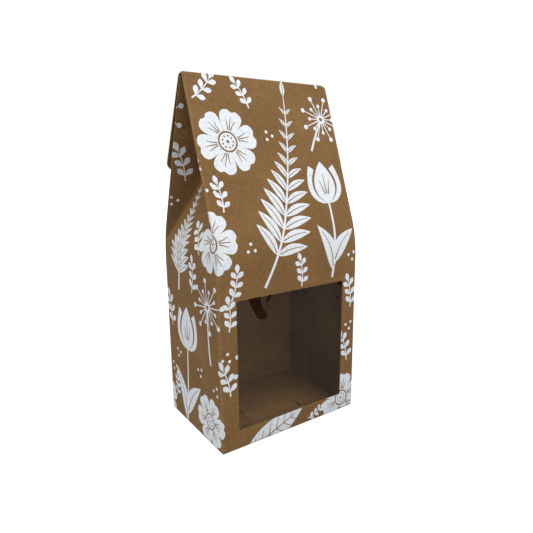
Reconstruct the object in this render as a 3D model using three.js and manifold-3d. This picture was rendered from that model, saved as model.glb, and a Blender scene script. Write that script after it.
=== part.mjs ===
// A folded board gift box with a window: gusseted gable top, hanging closing flap and snap-lock base.
// Millimetres. X runs along the front, -Y is the front, +Z is up, and the origin is the base's middle.
import * as THREE from 'three';
import { mergeVertices } from 'three/addons/utils/BufferGeometryUtils.js';
import Module from 'manifold-3d';

const wasm = await Module();
wasm.setup();

// Outside of the box
const width = 100;
const depth = 68.4;
const height = 209.4; // floor to the ridge crease
const board = 0.5; // thickness of the board

// Gable: where the walls start to lean, and how softly they bend there
const shoulder = 115;
const bendReach = 12.5; // how far the bend runs each way from the shoulder
const bendSteps = 6;
const ridgeThickness = 3.2; // front to back at the ridge, over four layers of board
const foldGap = 0.6; // between the two printed sides of a gusset folded flat
const gussetHeight = 75; // on the flat sheet, from the shoulder crease to the point where the folds meet

// Vertical corners: a board corner is a small bevel, shorter on the broad walls
const cornerOnBroad = 0.5;
const cornerOnSide = 1.1;

// Window
const windowSide = 11.1; // board left on each side of the window
const windowSill = 11; // board left under the window
const windowTall = 77.4;
const windowRadius = 1.2;
const film = 0.2; // thickness of the window's film
const filmLap = 8; // film glued behind the board, all round
const glueLine = 0.1; // between the board and the film

// Closing flap
const hingeGap = 0.3; // between the flap's first edge and the top of the front wall
const crownWidth = 4.6; // the strip over the ridge, between its two creases
const crownFall = 0.9; // how much lower the rear crease lies
const creaseReach = 1.1; // how far a crease's rounding runs each way
const creaseSteps = 4;
const flapLength = 56; // from the rear crease to the free edge
const flapLean = 65.1; // degrees below level
const flapRadius = 5; // at the free corners
const crownClearance = 0.3; // under the crown, over the cut edges of the ridge

// Base: four flaps folded in at three levels, with the front one's tongue on top
const layerGap = 0.15;
const cornerRelief = 3.4; // cut away at the ends of each base flap
const sideRamp = 2.3; // run over which a side flap rises to its level
const backRamp = 4;
const frontReach = 19; // the front flap's broad part beside the tongue, from the front wall
const frontShoulder = 16; // and at its ends
const tongueWidth = 38;
const tongueRamp = 8; // run over which the tongue climbs through the notch
const tongueTip = 48; // from the front wall
const tongueTipWidth = 16;
const tongueCheek = { length: 10, taper: 1.5 }; // the nearly parallel part after the ramp
const tipBevel = 2.5;
const backReach = 51.4; // from the back wall
const backTaper = 3; // narrower at each end of its free edge
const notchDepth = 11.5;
const notchClearance = 1.5; // beside the tongue
const notchTaper = 0.8; // narrower at its foot
const sideReach = 30; // from the side wall
const sideSlope = 22.6; // run of a side flap's slanted front corner
const sideNose = { inward: 4, run: 6 }; // the blunted end of that slant
const sideBackSlope = 10;

// Glue tab, inside the right wall
const tabWidth = 21;
const tabInset = 8; // from the base and from the shoulder
const tabSink = 0.05; // pressed into the wall that it is glued to

const colours = {
  kraft: 0x8c7048,
  film: 0xdfe3e2,
};

const halfWidth = width / 2;
const halfDepth = depth / 2;
const point = (x, y, z) => new THREE.Vector3(x, y, z);

function toSolid(geometry) {
  const bare = geometry.clone();
  bare.deleteAttribute('normal');
  bare.deleteAttribute('uv');
  const merged = mergeVertices(bare, 1e-4);
  const mesh = new wasm.Mesh({
    numProp: 3,
    vertProperties: merged.attributes.position.array,
    triVerts: new Uint32Array(merged.index.array),
  });
  return new wasm.Manifold(mesh);
}

function toGeometry(solid) {
  const mesh = solid.getMesh();
  const geometry = new THREE.BufferGeometry();
  geometry.setAttribute('position', new THREE.BufferAttribute(mesh.vertProperties, 3));
  geometry.setIndex(new THREE.BufferAttribute(mesh.triVerts, 1));
  const flat = geometry.toNonIndexed();
  flat.computeVertexNormals();
  return flat;
}

// Newell's normal of a flat panel, counterclockwise seen from its printed side
function panelNormal(corners) {
  const normal = point(0, 0, 0);
  corners.forEach((a, i) => {
    const b = corners[(i + 1) % corners.length];
    normal.x += (a.y - b.y) * (a.z + b.z);
    normal.y += (a.z - b.z) * (a.x + b.x);
    normal.z += (a.x - b.x) * (a.y + b.y);
  });
  return normal.normalize();
}

function panelTriangles(corners, normal) {
  const across = corners[1].clone().sub(corners[0]).normalize();
  const up = normal.clone().cross(across);
  const flat = corners.map((c) => new THREE.Vector2(c.dot(across), c.dot(up)));
  return THREE.ShapeUtils.triangulateShape(flat, []);
}

// A folded sheet: panels that share corners, given on the printed side, and the board behind them.
// Each corner's point on the plain side is the one that lies a board's thickness behind its panels.
class FoldedSheet {
  constructor(thickness) {
    this.thickness = thickness;
    this.points = [];
    this.panels = [];
  }

  add(x, y, z) {
    this.points.push(point(x, y, z));
    return this.points.length - 1;
  }

  panel(...corners) {
    this.panels.push(corners);
  }

  plainSide(normals) {
    const total = new THREE.Matrix3().set(0, 0, 0, 0, 0, 0, 0, 0, 0);
    const wanted = point(0, 0, 0);
    const e = total.elements;
    for (const n of normals) {
      const parts = n.toArray();
      for (let i = 0; i < 9; i++) e[i] += parts[i % 3] * parts[Math.floor(i / 3)];
      wanted.addScaledVector(n, -this.thickness);
    }
    for (const i of [0, 4, 8]) e[i] += 1e-4;
    return wanted.applyMatrix3(total.invert());
  }

  geometry() {
    const count = this.points.length;
    const around = this.points.map(() => []);
    const triangles = [];
    const edges = new Map();
    for (const panel of this.panels) {
      const corners = panel.map((i) => this.points[i]);
      const normal = panelNormal(corners);
      panel.forEach((i) => around[i].push(normal));
      for (const [a, b, c] of panelTriangles(corners, normal)) {
        triangles.push([panel[a], panel[b], panel[c]]);
      }
    }
    for (const [a, b, c] of triangles) {
      for (const [from, to] of [[a, b], [b, c], [c, a]]) edges.set(`${from} ${to}`, [from, to]);
    }
    const faces = [];
    for (const [a, b, c] of triangles) faces.push([a, b, c], [c + count, b + count, a + count]);
    for (const [from, to] of edges.values()) {
      if (edges.has(`${to} ${from}`)) continue;
      faces.push([to, from, from + count], [to, from + count, to + count]);
    }
    const behind = this.points.map((p, i) => p.clone().add(this.plainSide(around[i])));
    const all = [...this.points, ...behind];
    const position = new Float32Array(faces.flat().flatMap((i) => all[i].toArray()));
    const geometry = new THREE.BufferGeometry();
    geometry.setAttribute('position', new THREE.BufferAttribute(position, 3));
    return geometry;
  }
}

// Side view of the gable, y counted from the middle towards the wall
const ridgeHalf = ridgeThickness / 2;
const lean = Math.atan2(halfDepth - ridgeHalf, height - shoulder);
const slopeUp = new THREE.Vector2(-Math.sin(lean), Math.cos(lean));
const ridgeCorner = new THREE.Vector2(ridgeHalf, height);
const frontRimDrop = board + crownClearance + hingeGap;
const backRimDrop = frontRimDrop + crownFall;

// The corner line of a broad wall, from the floor to the rim
function wallProfile(drop) {
  const corner = new THREE.Vector2(halfDepth, shoulder);
  const start = corner.clone().add(new THREE.Vector2(0, -bendReach));
  const end = corner.clone().addScaledVector(slopeUp, bendReach);
  const bend = new THREE.QuadraticBezierCurve(start, corner, end).getPoints(bendSteps);
  const rim = ridgeCorner.clone().addScaledVector(slopeUp, -drop);
  return [new THREE.Vector2(halfDepth, 0), ...bend, rim];
}

// Where the gusset's folds meet once it is pushed in, and where its middle crease reaches the rim
function gussetPoints(profile, creaseIndex) {
  const low = profile[creaseIndex];
  const high = profile[profile.length - 1];
  const a = low.x - cornerOnSide;
  const b = high.x - cornerOnSide;
  const rise = high.y - low.y;
  const slant = Math.hypot(a - b, rise);
  const up = (slant * gussetHeight - a * (a - b)) / rise;
  const inward = Math.sqrt(gussetHeight ** 2 - up ** 2);
  const middle = slant - gussetHeight;
  const tilt = Math.atan2(rise - up, inward) - Math.atan2(middle, a);
  return {
    meet: { inward, z: low.y + up },
    top: { inward: a * Math.cos(tilt), z: high.y - a * Math.sin(tilt) },
  };
}

function addTube(sheet) {
  const profiles = { front: wallProfile(frontRimDrop), back: wallProfile(backRimDrop) };
  const last = profiles.front.length - 1;
  const crease = 1 + bendSteps / 2;
  const { meet, top } = gussetPoints(profiles.front, crease);

  // Each corner line is a pair: its points on the broad wall and on the side wall
  const line = (profile, side, wall) => profile.map(({ x: y, y: z }) => ({
    broad: sheet.add(side * (halfWidth - cornerOnBroad), wall * y, z),
    side: sheet.add(side * halfWidth, wall * (y - cornerOnSide), z),
  }));
  const lines = {};
  for (const side of [-1, 1]) {
    lines[side] = { front: line(profiles.front, side, -1), back: line(profiles.back, side, 1) };
  }
  for (let i = 0; i < last; i++) {
    const { front: leftFront, back: leftBack } = lines[-1];
    const { front: rightFront, back: rightBack } = lines[1];
    sheet.panel(leftFront[i].broad, rightFront[i].broad, rightFront[i + 1].broad, leftFront[i + 1].broad);
    sheet.panel(rightBack[i].broad, leftBack[i].broad, leftBack[i + 1].broad, rightBack[i + 1].broad);
  }
  for (const side of [-1, 1]) addSide(sheet, side, lines[side], { crease, last, meet, top });
  return lines;
}

// A side wall with its two corners and, above the shoulder, its gusset
function addSide(sheet, side, { front, back }, { crease, last, meet, top }) {
  const place = (spot, wall) => sheet.add(side * (halfWidth - spot.inward), wall * foldGap / 2, spot.z);
  const meetFront = place(meet, -1);
  const meetBack = place(meet, 1);
  const topFront = place(top, -1);
  const topBack = place(top, 1);
  // Panels are listed for the left side; the right side is its mirror image
  const panel = (...corners) => sheet.panel(...(side < 0 ? corners : corners.reverse()));
  for (let i = 0; i < last; i++) {
    panel(front[i].side, front[i].broad, front[i + 1].broad, front[i + 1].side);
    panel(back[i].broad, back[i].side, back[i + 1].side, back[i + 1].broad);
    if (i < crease) {
      panel(back[i].side, front[i].side, front[i + 1].side, back[i + 1].side);
    } else {
      panel(meetFront, front[i].side, front[i + 1].side);
      panel(meetBack, back[i + 1].side, back[i].side);
    }
  }
  panel(back[crease].side, front[crease].side, meetFront, meetBack);
  panel(meetFront, front[last].side, topFront);
  panel(meetBack, topBack, back[last].side);
  panel(meetBack, meetFront, topFront, topBack);
}

const level = (layer) => layer * (board + layerGap);

// The base flaps, each hung on the bottom crease of its wall
function addBase(sheet, lines) {
  const { front: leftFront, back: leftBack } = lines[-1];
  const { front: rightFront, back: rightBack } = lines[1];
  const innerX = halfWidth - cornerRelief;
  const innerY = halfDepth - cornerRelief;
  const spread = (y, half, z) => [sheet.add(-half, y, z), sheet.add(half, y, z)];

  // Front flap and tongue: the broad part lies lowest, the tongue climbs through the notch
  const tongueRoot = -halfDepth + frontReach;
  const tongueTop = tongueRoot + tongueRamp;
  const tongueHalf = tongueWidth / 2;
  const tongueLevel = level(3);
  const tongueEnd = -halfDepth + tongueTip;
  const ends = spread(-innerY, innerX, 0);
  const shoulders = spread(-halfDepth + frontShoulder, innerX, 0);
  const root = spread(tongueRoot, tongueHalf, 0);
  const landing = spread(tongueTop, tongueHalf, tongueLevel);
  const cheeks = spread(tongueTop + tongueCheek.length, tongueHalf - tongueCheek.taper, tongueLevel);
  const nearTip = spread(tongueEnd - tipBevel, tongueTipWidth / 2 + tipBevel, tongueLevel);
  const tip = spread(tongueEnd, tongueTipWidth / 2, tongueLevel);
  sheet.panel(rightFront[0].broad, leftFront[0].broad, ends[0], shoulders[0], root[0],
    root[1], shoulders[1], ends[1]);
  sheet.panel(root[1], root[0], landing[0], landing[1]);
  sheet.panel(landing[1], landing[0], cheeks[0], nearTip[0], tip[0], tip[1], nearTip[1], cheeks[1]);

  // Back flap, over the side flaps, with the notch in its free edge
  const backLevel = level(2);
  const rampEnd = halfDepth - backRamp;
  const freeEdge = halfDepth - backReach;
  const notchHalf = tongueHalf + notchClearance;
  const backRoot = spread(rampEnd, innerX, backLevel);
  const backEnds = spread(freeEdge, innerX - backTaper, backLevel);
  const notchMouth = spread(freeEdge, notchHalf, backLevel);
  const notchFoot = spread(freeEdge + notchDepth, notchHalf - notchTaper, backLevel);
  sheet.panel(leftBack[0].broad, rightBack[0].broad, backRoot[1], backRoot[0]);
  sheet.panel(backRoot[0], backRoot[1], backEnds[1], notchMouth[1], notchFoot[1],
    notchFoot[0], notchMouth[0], backEnds[0]);

  // Side flaps, between them
  const sideLevel = level(1);
  for (const side of [-1, 1]) {
    const { front, back } = lines[side];
    const at = (inward, y, z) => sheet.add(side * (halfWidth - inward), y, z);
    const panel = (...corners) => sheet.panel(...(side < 0 ? corners : corners.reverse()));
    const frontY = -halfDepth + cornerOnSide;
    const backY = halfDepth - cornerOnSide;
    const rampFront = at(sideRamp, frontY + sideRamp, sideLevel);
    const rampBack = at(sideRamp, backY - sideRamp, sideLevel);
    const farBack = halfDepth - backRamp - layerGap * 2;
    const inset = backY - farBack;
    const slantEnd = frontY + inset + sideSlope;
    const outline = [
      rampFront,
      at(inset, frontY + inset, sideLevel),
      at(sideReach - sideNose.inward, slantEnd, sideLevel),
      at(sideReach, slantEnd + sideNose.run, sideLevel),
      at(sideReach, farBack - sideBackSlope, sideLevel),
      at(sideReach - sideBackSlope, farBack, sideLevel),
      at(inset, farBack, sideLevel),
      rampBack,
    ];
    panel(front[0].side, back[0].side, rampBack, rampFront);
    panel(...outline.reverse());
  }
}

// An outline drawn in a plane and given a thickness, as a solid
function prism(shape, thickness, place) {
  const options = { depth: thickness, bevelEnabled: false, curveSegments: 6 };
  const geometry = new THREE.ExtrudeGeometry(shape, options);
  geometry.applyMatrix4(place);
  return toSolid(geometry);
}

function roundedRectangle(x0, y0, x1, y1, r) {
  const shape = new THREE.Shape();
  shape.moveTo(x0 + r, y0);
  shape.lineTo(x1 - r, y0);
  shape.absarc(x1 - r, y0 + r, r, -Math.PI / 2, 0);
  shape.lineTo(x1, y1 - r);
  shape.absarc(x1 - r, y1 - r, r, 0, Math.PI / 2);
  shape.lineTo(x0 + r, y1);
  shape.absarc(x0 + r, y1 - r, r, Math.PI / 2, Math.PI);
  shape.lineTo(x0, y0 + r);
  shape.absarc(x0 + r, y0 + r, r, Math.PI, Math.PI * 1.5);
  return shape;
}

// Shapes drawn as x and z, facing the front, at the depth y
const facingFront = (y) => new THREE.Matrix4().makeTranslation(0, y, 0)
  .multiply(new THREE.Matrix4().makeRotationX(Math.PI / 2));
// Shapes drawn as y and z, facing the right, at the place x
const facingRight = (x) => new THREE.Matrix4().makeTranslation(x, 0, 0)
  .multiply(new THREE.Matrix4().makeBasis(point(0, 1, 0), point(0, 0, 1), point(1, 0, 0)));

const windowHalf = halfWidth - windowSide;
const windowTop = windowSill + windowTall;

function windowHole() {
  const shape = roundedRectangle(-windowHalf, windowSill, windowHalf, windowTop, windowRadius);
  return prism(shape, 4 * board, facingFront(-halfDepth + 2 * board));
}

// The strip that closes the tube: folded off the back wall and glued inside the right wall
function glueTab() {
  const root = halfDepth - board / 2;
  const edge = halfDepth - tabWidth;
  const low = tabInset;
  const high = shoulder - bendReach - tabInset;
  const shape = new THREE.Shape([
    new THREE.Vector2(edge, low + tabInset / 2),
    new THREE.Vector2(root, low),
    new THREE.Vector2(root, high),
    new THREE.Vector2(edge, high - tabInset / 2),
  ]);
  return prism(shape, board, facingRight(halfWidth - 2 * board + tabSink));
}

function cartonGeometry() {
  const sheet = new FoldedSheet(board);
  const lines = addTube(sheet);
  addBase(sheet, lines);
  return toGeometry(toSolid(sheet.geometry()).add(glueTab()).subtract(windowHole()));
}

// The flap's section, from its first edge over the ridge and down behind, y towards the back
const crownTilt = Math.asin(crownFall / crownWidth);
const crownRun = new THREE.Vector2(Math.cos(crownTilt), -Math.sin(crownTilt));
const flapAngle = THREE.MathUtils.degToRad(flapLean);
const flapDown = new THREE.Vector2(Math.cos(flapAngle), -Math.sin(flapAngle));
const frontCrease = new THREE.Vector2(-ridgeHalf, height);
const rearCrease = frontCrease.clone().addScaledVector(crownRun, crownWidth);
const frontSlope = new THREE.Vector2(-slopeUp.x, slopeUp.y);

function flapSection() {
  const first = frontCrease.clone().addScaledVector(frontSlope, -(board + crownClearance));
  const along = (from, direction, reach) => from.clone().addScaledVector(direction, reach);
  const front = new THREE.QuadraticBezierCurve(
    along(frontCrease, frontSlope, -board), frontCrease, along(frontCrease, crownRun, creaseReach));
  const rear = new THREE.QuadraticBezierCurve(
    along(rearCrease, crownRun, -creaseReach), rearCrease, along(rearCrease, flapDown, creaseReach));
  return [first, ...front.getPoints(creaseSteps), ...rear.getPoints(creaseSteps),
    along(rearCrease, flapDown, flapLength)];
}

function flapGeometry() {
  const sheet = new FoldedSheet(board);
  const half = halfWidth - cornerOnBroad;
  const rows = flapSection().map(({ x: y, y: z }) => [sheet.add(-half, y, z), sheet.add(half, y, z)]);
  for (let i = 0; i + 1 < rows.length; i++) {
    sheet.panel(rows[i][0], rows[i][1], rows[i + 1][1], rows[i + 1][0]);
  }
  // The free corners are rounded by a block whose outline lies in the plane of the hanging flap
  const reach = height; // more than the flap needs, above it and to each side of its plane
  const outline = roundedRectangle(-half, -flapLength, half, reach, flapRadius);
  const outward = point(0, flapDown.y, -flapDown.x);
  const plane = new THREE.Matrix4()
    .makeBasis(point(1, 0, 0), point(0, -flapDown.x, -flapDown.y), outward)
    .setPosition(0, rearCrease.x, rearCrease.y)
    .multiply(new THREE.Matrix4().makeTranslation(0, 0, -reach / 2));
  return toGeometry(toSolid(sheet.geometry()).intersect(prism(outline, reach, plane)));
}

function filmGeometry() {
  const half = windowHalf + filmLap;
  const shape = roundedRectangle(-half, windowSill - filmLap, half, windowTop + filmLap, windowRadius);
  return toGeometry(prism(shape, film, facingFront(-halfDepth + board + glueLine + film)));
}

function piece(name, geometry, material) {
  const mesh = new THREE.Mesh(geometry, material);
  mesh.name = name;
  return mesh;
}

const kraft = new THREE.MeshStandardMaterial({ color: colours.kraft, roughness: 0.85, metalness: 0 });
const clear = new THREE.MeshStandardMaterial({
  color: colours.film, roughness: 0.12, metalness: 0, transparent: true, opacity: 0.3,
});

const box = new THREE.Group();
box.add(piece('carton', cartonGeometry(), kraft));
box.add(piece('closing_flap', flapGeometry(), kraft));
box.add(piece('window_film', filmGeometry(), clear));

export default box;
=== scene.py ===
import math
import random

import bpy
import numpy as np
from mathutils import Matrix, Vector
from mathutils.geometry import delaunay_2d_cdt


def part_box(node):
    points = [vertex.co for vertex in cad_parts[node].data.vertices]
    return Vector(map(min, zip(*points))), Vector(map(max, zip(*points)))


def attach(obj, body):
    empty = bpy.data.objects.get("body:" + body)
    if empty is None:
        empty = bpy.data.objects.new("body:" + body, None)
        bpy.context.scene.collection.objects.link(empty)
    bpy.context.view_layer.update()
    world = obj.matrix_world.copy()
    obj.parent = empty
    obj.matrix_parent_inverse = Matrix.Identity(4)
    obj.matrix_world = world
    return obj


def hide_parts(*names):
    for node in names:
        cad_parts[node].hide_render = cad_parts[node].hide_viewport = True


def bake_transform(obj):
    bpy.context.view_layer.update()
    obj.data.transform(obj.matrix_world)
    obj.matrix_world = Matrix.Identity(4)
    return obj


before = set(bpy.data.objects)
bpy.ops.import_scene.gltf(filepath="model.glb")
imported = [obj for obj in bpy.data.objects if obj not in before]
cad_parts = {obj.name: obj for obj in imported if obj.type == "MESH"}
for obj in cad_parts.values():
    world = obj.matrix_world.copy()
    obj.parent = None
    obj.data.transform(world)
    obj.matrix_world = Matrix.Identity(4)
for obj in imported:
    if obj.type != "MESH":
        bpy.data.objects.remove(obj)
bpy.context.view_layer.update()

mm = 0.001
halfWidth, halfDepth = np.array(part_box("carton")[1])[:2] / mm
random.seed(7)
weldWithin = 1e-4  # points of a flat sheet this near count as one
sharpFold = math.radians(28)  # a fold sharper than this shows as an edge

# Camera: fitted to the box's corners in the photograph
camera = {
    "place": (-0.1650, -0.2470, 0.1621),
    "azimuth": -34.44,
    "elevation": 12.43,
    "roll": -0.51,
    "focalPixels": 476.155,
    "framePixels": 533,
    "sensor": 36.0,
}


def makeCamera(settings):
    azimuth, elevation, roll = (math.radians(settings[key]) for key in ("azimuth", "elevation", "roll"))
    level = math.cos(elevation)
    back = Vector((math.sin(azimuth) * level, -math.cos(azimuth) * level, math.sin(elevation)))
    right = Vector((math.cos(azimuth), math.sin(azimuth), 0))
    up = back.cross(right)
    c, s = math.cos(roll), math.sin(roll)
    right, up = right * c + up * s, up * c - right * s
    data = bpy.data.cameras.new("camera")
    data.sensor_width = settings["sensor"]
    data.sensor_fit = "HORIZONTAL"
    data.lens = settings["focalPixels"] / settings["framePixels"] * settings["sensor"]
    obj = bpy.data.objects.new("camera", data)
    bpy.context.collection.objects.link(obj)
    turn = Matrix((right, up, back)).transposed()
    obj.matrix_world = Matrix.Translation(settings["place"]) @ turn.to_4x4()
    bpy.context.scene.camera = obj
    print("camera set, lens", round(data.lens, 2))


makeCamera(camera)

# The board, in millimetres: the sheet lies flat at (u, v), u across the walls and v up from the bottom
# crease, and every point of it is carried to its place on the folded box by foldSheet.
board = {
    "thick": 0.5,
    "height": 209.4,  # of the ridge
    "shoulder": 115.0,  # where the broad walls begin to lean in
    "bendReach": 12.5,  # how far their bend reaches each way
    "bendSteps": 16,
    "ridgeThickness": 3.2,
    "foldGap": 0.6,  # between a gusset's two halves
    "gussetHeight": 75.0,
    "cornerBroad": 0.5,  # an upright corner's rounding: on the broad wall,
    "cornerSide": 1.1,  # on the side wall,
    "cornerFlat": 1.4,  # and along the flat sheet
    "cornerSteps": 4,
    "rimDrop": 1.1,  # from the ridge down to the walls' cut edges
    "crownWidth": 5.2,  # the strip over the ridge
    "crownFall": 0.9,
    "creaseReach": 1.1,
    "creaseSteps": 8,
    "flapLength": 56.0,
    "flapLean": 65.1,
    "flapRadius": 5.0,
    "tabWidth": 21.0,  # the glue tab
    "tabInset": 2.0,
    "tabTaper": 0.5,
    "tabShift": 0.55,
    "seam": 0.3,
    "floorRound": 0.7,  # the bottom creases
    "roundFade": 3.0,
    "cornerLift": 1.5,  # blunt bottom corners
    "liftReach": 3.4,
    "ridgePress": 1.1,  # the ridge's blunt right end
    "pressReach": 3.2,
    "gridStep": 7.0,
    "bow": 0.45,
    "creaseLimit": 0.62,  # how far the inner side is drawn out at a crease
}

# Base flaps, at their levels from the floor up: front, sides, back, and the front one's tongue on top
base = {
    "layerGap": 0.15,
    "cornerRelief": 3.4,
    "sideRamp": 2.3,
    "backRamp": 4.0,
    "frontReach": 19.0,
    "frontShoulder": 16.0,
    "tongueHalf": 19.0,
    "tongueRamp": 8.0,
    "tongueTip": 48.0,
    "tipHalf": 8.0,
    "cheekLength": 10.0,
    "cheekTaper": 1.5,
    "tipBevel": 2.5,
    "backReach": 51.4,
    "backTaper": 3.0,
    "notchDepth": 11.5,
    "notchClearance": 0.8,
    "notchTaper": 0.8,
    "sideReach": 30.0,
    "sideSlope": 22.6,
    "noseInward": 4.0,
    "noseRun": 6.0,
    "sideBackSlope": 10.0,
}

# Window: its cut is a little ragged, most of all along the top
window = {
    "side": 11.1,
    "sill": 11.0,
    "tall": 77.4,
    "radius": 1.2,
    "step": 0.9,
    "ragged": 0.07,
    "raggedTop": 0.24,
}


def bezier(start, middle, end, steps):
    start, middle, end = (np.array(p, float) for p in (start, middle, end))
    shares = np.linspace(0, 1, steps + 1)[:, None]
    return list((1 - shares) ** 2 * start + 2 * shares * (1 - shares) * middle + shares ** 2 * end)


def withRun(points):
    points = np.array(points, float)
    steps = np.linalg.norm(np.diff(points, axis=0), axis=1)
    return {"points": points, "run": np.concatenate(([0], np.cumsum(steps)))}


ridgeHalf = board["ridgeThickness"] / 2
lean = math.atan2(halfDepth - ridgeHalf, board["height"] - board["shoulder"])
slopeUp = np.array((-math.sin(lean), math.cos(lean)))
ridgeCorner = np.array((ridgeHalf, board["height"]))


# Side view of a broad wall up to the ridge, as (distance from the middle, height)
def wallLine(drop):
    corner = np.array((halfDepth, board["shoulder"]))
    reach = board["bendReach"]
    bend = bezier(corner - (0, reach), corner, corner + slopeUp * reach, board["bendSteps"])
    return [np.array((halfDepth, 0.0))] + bend + [ridgeCorner - slopeUp * drop]


# The closing flap's line goes on from the front wall, over the ridge and down behind
def flapLine():
    reach = board["creaseReach"]
    tilt = math.asin(board["crownFall"] / board["crownWidth"])
    crown = np.array((-math.cos(tilt), -math.sin(tilt)))
    angle = math.radians(board["flapLean"])
    down = np.array((-math.cos(angle), -math.sin(angle)))
    rear = ridgeCorner + crown * board["crownWidth"]
    steps = board["creaseSteps"]
    front = bezier(ridgeCorner - slopeUp * board["thick"], ridgeCorner, ridgeCorner + crown * reach, steps)
    back = bezier(rear - crown * reach, rear, rear + down * reach, steps)
    return front + back + [rear + down * board["flapLength"]]


frontLine = withRun(wallLine(board["rimDrop"]) + flapLine())
backLine = withRun(wallLine(board["rimDrop"] + board["crownFall"]))
frontRim = withRun(wallLine(board["rimDrop"]))["run"][-1]
backRim = backLine["run"][-1]
flapEnd = frontLine["run"][-1]
creaseRow = 1 + board["bendSteps"] // 2
creaseHeight = frontLine["run"][creaseRow]
bendRows = list(frontLine["run"][1:board["bendSteps"] + 2])


def onLine(line, v):
    return np.interp(v, line["run"], line["points"][:, 0]), np.interp(v, line["run"], line["points"][:, 1])


# Columns of the flat sheet
broadHalf = halfWidth - board["cornerBroad"]
sideFlat = 2 * (halfDepth - board["cornerSide"])
gussetHalf = (sideFlat - board["foldGap"]) / 2
sideStart = broadHalf + board["cornerFlat"]
sideEnd = sideStart + sideFlat
backStart = sideEnd + board["cornerFlat"]
backFlat = 2 * broadHalf - board["tabShift"]
backEnd = backStart + backFlat
tabStart = backEnd + board["cornerFlat"]
tabEnd = tabStart + board["tabWidth"]


def layer(number):
    return number * (board["thick"] + base["layerGap"])


# Each base flap's line, from its crease inwards, and its outline as (place along the crease, way from it)
def baseFlaps():
    innerX = halfWidth - base["cornerRelief"]
    innerY = halfDepth - base["cornerRelief"]
    root = base["frontReach"]
    front = withRun([(-halfDepth, 0), (root - halfDepth, 0),
                     (root + base["tongueRamp"] - halfDepth, layer(3)),
                     (base["tongueTip"] - halfDepth, layer(3))])
    landing, tip = front["run"][2:4]
    tongueHalf, bevel = base["tongueHalf"], base["tipBevel"]
    frontHalf = [(broadHalf, 0), (innerX, halfDepth - innerY), (innerX, base["frontShoulder"]),
                 (tongueHalf, root), (tongueHalf, landing),
                 (tongueHalf - base["cheekTaper"], landing + base["cheekLength"]),
                 (base["tipHalf"] + bevel, tip - bevel), (base["tipHalf"], tip)]
    back = withRun([(halfDepth, 0), (halfDepth - base["backRamp"], layer(2)),
                    (halfDepth - base["backReach"], layer(2))])
    ramp, free = back["run"][1:3]
    notchHalf = tongueHalf + base["notchClearance"]
    backHalf = [(broadHalf, 0), (innerX, ramp), (innerX - base["backTaper"], free), (notchHalf, free),
                (notchHalf - base["notchTaper"], free - base["notchDepth"])]
    side = withRun([(0, 0), (base["sideRamp"], layer(1)), (base["sideReach"], layer(1))])
    rise = side["run"][1] - base["sideRamp"]
    farBack = halfDepth - base["backRamp"] - 2 * base["layerGap"]
    inset = halfDepth - board["cornerSide"] - farBack
    reach, nose = base["sideReach"] + rise, inset + base["sideSlope"]
    sideOutline = [(0, 0), (base["sideRamp"], side["run"][1]), (inset, inset + rise),
                   (nose, reach - base["noseInward"]), (nose + base["noseRun"], reach),
                   (sideFlat - inset - base["sideBackSlope"], reach),
                   (sideFlat - inset, reach - base["sideBackSlope"]), (sideFlat - inset, inset + rise),
                   (sideFlat - base["sideRamp"], side["run"][1]), (sideFlat, 0)]

    def mirrored(half):
        return half + [(-place, distance) for place, distance in reversed(half)]

    return {
        "front": (front, mirrored(frontHalf)),
        "back": (back, mirrored(backHalf)),
        "side": (side, sideOutline),
    }


flaps = baseFlaps()


# The flaps' outlines on the flat sheet
def baseOutlines():
    backMost = broadHalf - board["tabShift"]
    front = [(x, -d) for x, d in flaps["front"][1]]
    back = [(-(backStart + min(x, backMost) + broadHalf), -d) for x, d in flaps["back"][1]]
    left = [(-(sideStart + s), -d) for s, d in flaps["side"][1]]
    right = [(sideStart + min(s, sideFlat - board["seam"]), -d) for s, d in flaps["side"][1]]
    return [front, back, left, right]


# A wall and its base flap meet in a small round, which fades out towards the wall's ends
def throughCrease(v, wallAt, flapAt, fromEnd):
    sharp = wallAt(v) if v >= 0 else flapAt(-v)
    radius = board["floorRound"]
    if abs(v) >= radius or fromEnd <= 0:
        return sharp
    t = (radius - v) / (2 * radius)
    parts = [np.array(p) for p in (wallAt(radius), wallAt(0), flapAt(radius))]
    rounded = (1 - t) ** 2 * parts[0] + 2 * t * (1 - t) * parts[1] + t ** 2 * parts[2]
    share = min(1.0, fromEnd / board["roundFade"])
    return tuple(rounded * share + np.array(sharp) * (1 - share))


# Where the pushed-in gusset's folds meet, and where its middle crease reaches the rim
def gussetPoints():
    low = frontLine["points"][creaseRow]
    high = withRun(wallLine(board["rimDrop"]))["points"][-1]
    a = low[0] - board["cornerSide"]
    b = high[0] - board["cornerSide"]
    rise = high[1] - low[1]
    slant = math.hypot(a - b, rise)
    flat = board["gussetHeight"]
    up = (slant * flat - a * (a - b)) / rise
    inward = math.sqrt(flat ** 2 - up ** 2)
    tilt = math.atan2(rise - up, inward) - math.atan2(slant - flat, a)
    return {
        "meetIn": inward,
        "meetUp": low[1] + up,
        "topIn": a * math.cos(tilt),
        "topUp": high[1] - a * math.sin(tilt),
    }


gusset = gussetPoints()


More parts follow.
